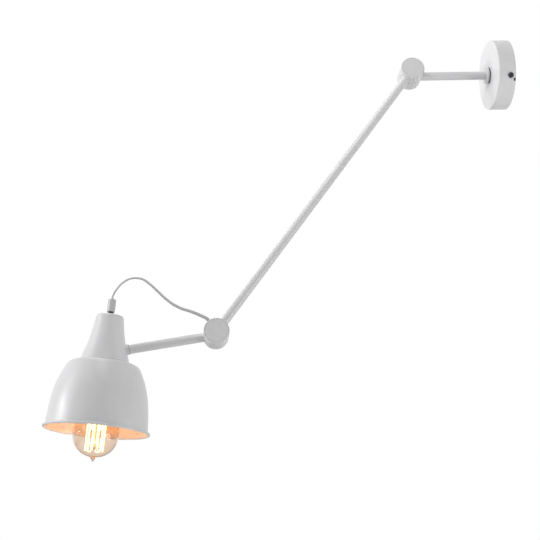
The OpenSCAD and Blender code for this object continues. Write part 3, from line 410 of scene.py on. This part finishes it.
shade_frame = Matrix((shade_axis.orthogonal().normalized(),
                      shade_axis.cross(shade_axis.orthogonal()).normalized(), shade_axis)).transposed()
shade_place = Matrix.Translation(rim_centre) @ shade_frame.to_4x4()


def bezier(a, b, c, d, parts):
    """Points along one cubic curve, ends included."""
    a, b, c, d = map(Vector, (a, b, c, d))
    return [(1 - t) ** 3 * a + 3 * t * (1 - t) ** 2 * b + 3 * t * t * (1 - t) * c + t ** 3 * d
            for t in (k / parts for k in range(parts + 1))]


def spun(name, outline, place, steps=160, closed=True, sharp=35):
    """A piece spun from its outline, given as radius and height, about the axis of a place."""
    bm = bmesh.new()
    ring = [bm.verts.new((p[0], 0, p[1])) for p in outline]
    line = list(zip(ring, ring[1:])) + ([(ring[-1], ring[0])] if closed else [])
    edges = [bm.edges.new(pair) for pair in line]
    bmesh.ops.spin(bm, geom=ring + edges, cent=(0, 0, 0), axis=(0, 0, 1), angle=2 * pi, steps=steps,
                   use_merge=True)
    bmesh.ops.remove_doubles(bm, verts=bm.verts, dist=1e-6)
    bmesh.ops.transform(bm, matrix=place, verts=bm.verts)
    return finished(name, bm, sharp)


cup_low = Vector((cup_low_radius, bell_height))
cup_top = Vector((cup_top_radius, bell_height + cup_height))
half_chord = (cup_top - cup_low).length / 2
cup_normal = Vector((cup_top.y - cup_low.y, cup_low.x - cup_top.x)).normalized()
cup_centre = (cup_low + cup_top) / 2 + cup_normal * sqrt(cup_flare_radius ** 2 - half_chord ** 2)


def cup_radius(height):
    return cup_centre.x - sqrt(cup_flare_radius ** 2 - (height - cup_centre.y) ** 2)


wall_heights = [bell_height + (cup_height - cup_edge) * k / cup_steps for k in range(cup_steps + 1)]
edge_start = wall_heights[-1]
edge_corner = bezier((cup_radius(edge_start), edge_start),
                     (cup_radius(cup_top.y - cup_edge / 2), cup_top.y - cup_edge / edge_round),
                     (cup_top.x - cup_edge / edge_round, cup_top.y),
                     (cup_top.x - cup_edge, cup_top.y), edge_steps)
cup_outline = ([Vector((cup_radius(bell_height) - cup_foot_bevel, bell_height))]
               + [Vector((cup_radius(h), h)) for h in [bell_height + cup_foot_bevel] + wall_heights[1:]]
               + edge_corner[1:]
               + [Vector((cup_hole_radius, cup_top.y)), Vector((cup_hole_radius, cup_top.y - cup_sheet)),
                  Vector((cup_top.x - cup_edge, cup_top.y - cup_sheet))]
               + [Vector((cup_radius(h) - cup_sheet / cos(radians(neck_lean)), h))
                  for h in reversed(wall_heights)])
shade_enamel = enamel("shade_enamel", (0.70, 0.70, 0.71), 0.38)
cup_skin = spun("cup_skin", cup_outline, shade_place)
place_piece(cup_skin, "shade", "shade_enamel", shade_enamel, "socket_cup")

# Cord grip: a turned steel sleeve, screwed onto the thread tube on top of the cup, which clamps the cord.
# It has the same enamel in a darker grey.
grip_enamel = enamel("grip_enamel", (0.56, 0.56, 0.57), 0.34)
finish_nodes(grip_enamel, "cord_grip")

# Bell shade: spun steel with a flat seat, a sloped shoulder, full sides and an outward rolled bead at its
# rim, enamelled inside and outside. The lampholder's ring clamps its seat.
seat_radius = 0.0373
holder_hole_radius = 0.02015
shoulder_radius = 0.0480
shoulder_slope = 17
corner_radius = 0.010
side_lean = 26
skirt_radius = 0.0656
skirt_height = 0.0045
skirt_lean = 4
full_top = 0.028
full_low = 0.042
rim_radius = 0.06878
bead_radius = 0.0017
bead_open = 50
bell_sheet = 0.001
skirt_run = 0.001
bead_pull = (-0.06, 0.09)
corner_parts = 10
side_parts = 30
skirt_parts = 5
bead_parts = 28
bell_turns = 192


def arc(centre, radius, first, last, parts):
    angles = (radians(first + (last - first) * k / parts) for k in range(parts + 1))
    return [Vector((centre[0] + radius * cos(a), centre[1] + radius * sin(a))) for a in angles]


lean = radians(side_lean)
corner_x = shoulder_radius - corner_radius * cos(lean)
corner_turn = radians(90 - shoulder_slope)
corner_top = bell_height - ((corner_x + corner_radius * cos(corner_turn) - seat_radius)
                            * sin(radians(shoulder_slope)) / cos(radians(shoulder_slope)))
corner = Vector((corner_x, corner_top - corner_radius * sin(corner_turn)))
corner_end = corner + corner_radius * Vector((cos(lean), sin(lean)))
skirt = Vector((skirt_radius, skirt_height))
bead_middle = Vector((rim_radius - bead_radius, bead_radius))
bead_start = degrees(atan2(skirt.y - bead_middle.y, skirt.x - bead_middle.x)) + bead_open / 5
bead = arc(bead_middle, bead_radius, bead_start, bead_start + bead_open - 360, bead_parts)
side_from = corner_end + full_top * Vector((sin(lean), -cos(lean)))
side_to = skirt + full_low * Vector((-sin(radians(skirt_lean)), cos(radians(skirt_lean))))
bead_from = skirt - Vector((0, skirt_run))
bead_to = bead[0] + 2 * bead_radius * Vector(bead_pull)
bell_outer = ([Vector((holder_hole_radius, bell_height)), Vector((seat_radius, bell_height))]
              + arc(corner, corner_radius, 90 - shoulder_slope, side_lean, corner_parts)
              + bezier(corner_end, side_from, side_to, skirt, side_parts)[1:]
              + bezier(skirt, bead_from, bead_to, bead[0], skirt_parts)[1:-1])


def moved_in(line, distance):
    """The same line a sheet's thickness further in."""
    last = len(line) - 1
    steps = [(line[min(i + 1, last)] - line[max(i - 1, 0)]).normalized() for i in range(last + 1)]
    return [p + distance * Vector((s.y, -s.x)) for p, s in zip(line, steps)]


bell_outline = bell_outer + bead + moved_in(bell_outer[:-3], bell_sheet)[::-1]
bell_skin = spun("bell_skin", bell_outline, shade_place, bell_turns)
place_piece(bell_skin, "shade", "shade_enamel", shade_enamel, "bell_shade")

# Lampholder: body, cap and shade ring of moulded white thermoplastic. The cap hangs on the thread tube in
# the cup and carries the body, and the ring screws onto the body from below.
finish_nodes(white_plastic, "lampholder_body", "lampholder_cap", "shade_ring")

# Bulb: blown pear-shaped glass with a drawn tip, tinted amber, cemented to an E27 screw cap. Its stem of
# clear glass carries the filament.
bulb_tip = -0.0381
bulb_radius = 0.0295
bulb_belly = 0.035
bulb_nib = 0.005
nib_radius = 0.0045
bulb_neck_radius = 0.01205
cap_low = 0.0722
glass_wall = 0.0008
nib_pull = (0.35, 0.4)
dome_pull = (0.64, 0.7)
belly_pull_low = 0.016
belly_pull_up = 0.026
neck_pull = 0.030
neck_out = 0.003
neck_in = 0.005
floor_gap = 0.00015
nib_parts = 10
glass_parts = 24
glass_turns = 128

dome = bulb_tip + bulb_nib
belly = bulb_tip + bulb_belly
dome_start = Vector((nib_radius, dome + bulb_nib / 5))
neck_end = (bulb_neck_radius, cap_low - neck_out)
glass_outer = (bezier((0, bulb_tip), (nib_pull[0] * bulb_nib, bulb_tip),
                      (nib_pull[1] * bulb_nib, dome - bulb_nib / 4), dome_start, nib_parts)
               + bezier(dome_start, (bulb_radius * dome_pull[0], dome + dome_pull[1] * nib_radius),
                        (bulb_radius, belly - belly_pull_low), (bulb_radius, belly), glass_parts)[1:]
               + bezier((bulb_radius, belly), (bulb_radius, belly + belly_pull_up),
                        (bulb_neck_radius + glass_wall, cap_low - neck_pull), neck_end, glass_parts)[1:]
               + [Vector((bulb_neck_radius, cap_low + neck_in))])
glass_floor = dome + glass_wall + floor_gap
glass_inner = [Vector((max(p.x - glass_wall, 0), p.y)) for p in reversed(glass_outer) if p.y > glass_floor]


def tinted_glass(name, tint, clear):
    """Smooth glass that lets lamps shine through, as thin blown glass does."""
    material, tree, shader, place = new_material(name)
    streaks = noise(tree, place, 60, 3, 0.5, (1, 1, 0.3))
    deeper = tuple(0.93 * c for c in tint)
    tree.links.new(two_colours(tree, streaks, tint, deeper), shader.inputs["Base Color"])
    tree.links.new(spread(tree, noise(tree, place, 120, 3), 0.0, 0.05), shader.inputs["Roughness"])
    relief(tree, shader, noise(tree, place, 45, 2), 0.0002, 0.2)
    shader.inputs["Transmission Weight"].default_value = 1.0
    shader.inputs["IOR"].default_value = 1.45
    see_through = tree.nodes.new("ShaderNodeBsdfTransparent")
    see_through.inputs["Color"].default_value = (*clear, 1)
    mix = tree.nodes.new("ShaderNodeMixShader")
    path = tree.nodes.new("ShaderNodeLightPath")
    tree.links.new(path.outputs["Is Shadow Ray"], mix.inputs["Fac"])
    tree.links.new(shader.outputs["BSDF"], mix.inputs[1])
    tree.links.new(see_through.outputs["BSDF"], mix.inputs[2])
    tree.links.new(mix.outputs["Shader"], tree.nodes["Material Output"].inputs["Surface"])
    return material


amber_glass = tinted_glass("amber_glass", (0.92, 0.82, 0.72), (0.96, 0.88, 0.76))
clear_glass = tinted_glass("clear_glass", (0.98, 0.94, 0.86), (0.98, 0.95, 0.9))
blown_glass = spun("blown_glass", glass_outer + glass_inner + [Vector((0, glass_floor))], shade_place,
                   glass_turns, closed=False, sharp=60)
place_piece(blown_glass, "shade", "amber_glass", amber_glass, "bulb_glass")
finish_nodes(clear_glass, "bulb_stem")

# Tip and insulator of the bulb: the drawn tip is melted shut, so it is cloudy, with a brown burn. The
# insulator in the cap's foot is cast black glass.
tip_colour = (0.95, 0.82, 0.75)
tip_burn = (0.50, 0.30, 0.20)
tip_start = 0.0001
tree = amber_glass.node_tree
place = tree.nodes.new("ShaderNodeTexCoord").outputs["Object"]
along = tree.nodes.new("ShaderNodeVectorMath")
along.operation = "DOT_PRODUCT"
along.inputs[1].default_value = shade_axis
tree.links.new(place, along.inputs[0])
below = tree.nodes.new("ShaderNodeMath")
below.operation = "LESS_THAN"
below.inputs[1].default_value = rim_centre.dot(shade_axis) + dome + tip_start
tree.links.new(along.outputs["Value"], below.inputs[0])
sealed = tree.nodes.new("ShaderNodeBsdfPrincipled")
burnt = spread(tree, noise(tree, place, 500, 2), 0, 1, 0.52, 0.6)
tree.links.new(two_colours(tree, burnt, tip_colour, tip_burn), sealed.inputs["Base Color"])
sealed.inputs["Roughness"].default_value = 0.35
tip_mix = tree.nodes.new("ShaderNodeMixShader")
output = tree.nodes["Material Output"]
glass = output.inputs["Surface"].links[0].from_socket
tree.links.new(below.outputs["Value"], tip_mix.inputs["Fac"])
tree.links.new(glass, tip_mix.inputs[1])
tree.links.new(sealed.outputs["BSDF"], tip_mix.inputs[2])
tree.links.new(tip_mix.outputs["Shader"], output.inputs["Surface"])
black_glass = soft_plastic("black_glass", (0.03, 0.03, 0.035), (0.02, 0.02, 0.022), 0.12)
finish_nodes(black_glass, "bulb_insulator")

# Filament: one fine strand that runs up and down round the stem as a cage, hung on wire hooks. It is lit,
# so it glows yellow-white.
strands = 12
strand_radius = 0.00045
cage_top = 0.0459
cage_foot = -0.0241
cage_top_radius = 0.0125
cage_foot_radius = 0.0115
cage_turn = -5
rest_turn = 2
strand_bend = 0.0018
bend_parts = 6
strand_sides = 10
glow_colour = (1.0, 0.91, 0.70)
ember_colour = (1.0, 0.66, 0.22)
glow_strength = 4.5

cage_side = arm_frame @ Matrix.Rotation(radians(rest_turn), 3, "Y") @ Vector((1, 0, 0))
cage_turned = Matrix((cage_side, shade_axis.cross(cage_side), shade_axis)).transposed()
cage_place = Matrix.Translation(rim_centre) @ cage_turned.to_4x4()
cage_corners = []
for k in range(strands):
    a = radians(cage_turn + 360 * k / strands)
    ends = [cage_place @ Vector((r * cos(a), r * sin(a), h)) for r, h in
            ((cage_foot_radius, cage_foot), (cage_top_radius, cage_top))]
    cage_corners += ends if k % 2 == 0 else ends[::-1]
strand_line = [cage_corners[0]]
for before, corner, after in zip(cage_corners, cage_corners[1:], cage_corners[2:]):
    into, out = (corner - before).normalized(), (after - corner).normalized()
    a, b = corner - strand_bend * into, corner + strand_bend * out
    strand_line += [(1 - t) ** 2 * a + 2 * t * (1 - t) * corner + t * t * b
                    for t in (k / bend_parts for k in range(bend_parts + 1))]
strand_line.append(cage_corners[-1])
strand_places = []
heading, turn = Vector((0, 0, 1)), Matrix.Identity(3)
for k, point in enumerate(strand_line):
    ahead = (strand_line[min(k + 1, len(strand_line) - 1)] - strand_line[max(k - 1, 0)]).normalized()
    turn = heading.rotation_difference(ahead).to_matrix() @ turn
    heading = ahead
    strand_places.append(Matrix.Translation(point) @ turn.to_4x4())
strand_outline = [(strand_radius * cos(a), strand_radius * sin(a))
                  for a in (2 * pi * k / strand_sides for k in range(strand_sides))]
glowing_cage = swept("glowing_cage", strand_outline, strand_places)
glowing_strand, tree, shader, place = new_material("glowing_strand")
strand_colour = two_colours(tree, noise(tree, place, 300, 3), glow_colour, ember_colour)
shader.inputs["Base Color"].default_value = (0.9, 0.6, 0.3, 1)
tree.links.new(strand_colour, shader.inputs["Emission Color"])
shader.inputs["Emission Strength"].default_value = glow_strength
tree.links.new(spread(tree, noise(tree, place, 900), 0.3, 0.6), shader.inputs["Roughness"])
place_piece(glowing_cage, "shade", "glowing_strand", glowing_strand, "bulb_filament")

# Light: the glow of the lit bulb, soft studio lamps round the lamp and near its canopy, and a pale surround
# that shows as white.
bulb_lamp_colour = (1.0, 0.40, 0.06)
bulb_lamp_power = 0.085
bulb_lamp_radius = 0.012
bulb_lamp_height = 0.012
surround_light = 0.30

bulb_lamp = bpy.data.objects.new("bulb_lamp", bpy.data.lights.new("bulb_lamp", "POINT"))
bulb_lamp.data.color = bulb_lamp_colour
bulb_lamp.data.energy = bulb_lamp_power
bulb_lamp.data.shadow_soft_size = bulb_lamp_radius
bulb_lamp.matrix_world = Matrix.Translation(rim_centre + bulb_lamp_height * shade_axis)
bpy.context.scene.collection.objects.link(bulb_lamp)
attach(bulb_lamp, "shade")


def soft_lamp(name, place, target, size, energy):
    lamp = bpy.data.objects.new(name, bpy.data.lights.new(name, "AREA"))
    lamp.data.shape = "DISK"
    lamp.data.size = size
    lamp.data.energy = energy
    place = Vector(place)
    lamp.matrix_world = (Matrix.Translation(place)
                         @ (Vector(target) - place).to_track_quat("-Z", "Y").to_matrix().to_4x4())
    lamp.visible_camera = False
    bpy.context.scene.collection.objects.link(lamp)


soft_lamp("room_side_lamp", (0.3, -2.4, 0.7), (0, -0.45, -0.25), 1.4, 10.5)
soft_lamp("high_lamp", (0.2, -0.5, 1.9), (0, -0.4, -0.2), 1.2, 9.3)
soft_lamp("low_right_lamp", (0.5, 0.7, -1.0), (0, -0.45, -0.4), 1.0, 9.8)
soft_lamp("low_left_lamp", (0.2, -2.0, -0.05), (0, -0.6, -0.45), 0.35, 8.6)
soft_lamp("canopy_lamp", (0.45, -0.45, 0.35), (0, -0.05, 0), 0.35, 1.7)
soft_lamp("canopy_face_lamp", (-0.2, -0.6, 0.15), (0, -0.05, 0), 0.35, 0.55)

world = bpy.data.worlds.new("studio")
bpy.context.scene.world = world
world.use_nodes = True
tree = world.node_tree
surround = tree.nodes["Background"]
surround.inputs["Color"].default_value = (1, 1, 1, 1)
surround.inputs["Strength"].default_value = surround_light
seen = tree.nodes.new("ShaderNodeBackground")
seen.inputs["Color"].default_value = (1, 1, 1, 1)
seen.inputs["Strength"].default_value = 1.0
path = tree.nodes.new("ShaderNodeLightPath")
is_seen = path.outputs["Is Camera Ray"]
for ray in ("Is Glossy Ray", "Is Transmission Ray"):
    either = tree.nodes.new("ShaderNodeMath")
    either.operation = "MAXIMUM"
    tree.links.new(is_seen, either.inputs[0])
    tree.links.new(path.outputs[ray], either.inputs[1])
    is_seen = either.outputs[0]
mix = tree.nodes.new("ShaderNodeMixShader")
tree.links.new(is_seen, mix.inputs["Fac"])
tree.links.new(surround.outputs[0], mix.inputs[1])
tree.links.new(seen.outputs[0], mix.inputs[2])
tree.links.new(mix.outputs[0], tree.nodes["World Output"].inputs["Surface"])

# Floor: a plain pale studio floor, far enough below the lamp to stay out of the photographed view. It is
# not a piece of the lamp.
floor_height = -1.1
floor_size = 12
bm = bmesh.new()
bmesh.ops.create_grid(bm, x_segments=1, y_segments=1, size=floor_size / 2)
bmesh.ops.translate(bm, vec=(0, 0, floor_height), verts=bm.verts)
floor_mesh = bpy.data.meshes.new("floor")
bm.to_mesh(floor_mesh)
bm.free()
floor = bpy.data.objects.new("floor", floor_mesh)
bpy.context.scene.collection.objects.link(floor)
floor_paint, tree, shader, place = new_material("floor_paint")
floor_tone = two_colours(tree, noise(tree, place, 3, 3), (0.92, 0.92, 0.92), (0.89, 0.89, 0.89))
tree.links.new(floor_tone, shader.inputs["Base Color"])
shader.inputs["Roughness"].default_value = 0.8
floor_mesh.materials.append(floor_paint)

# Picture: plain colours.
bpy.context.scene.view_settings.view_transform = "Standard"
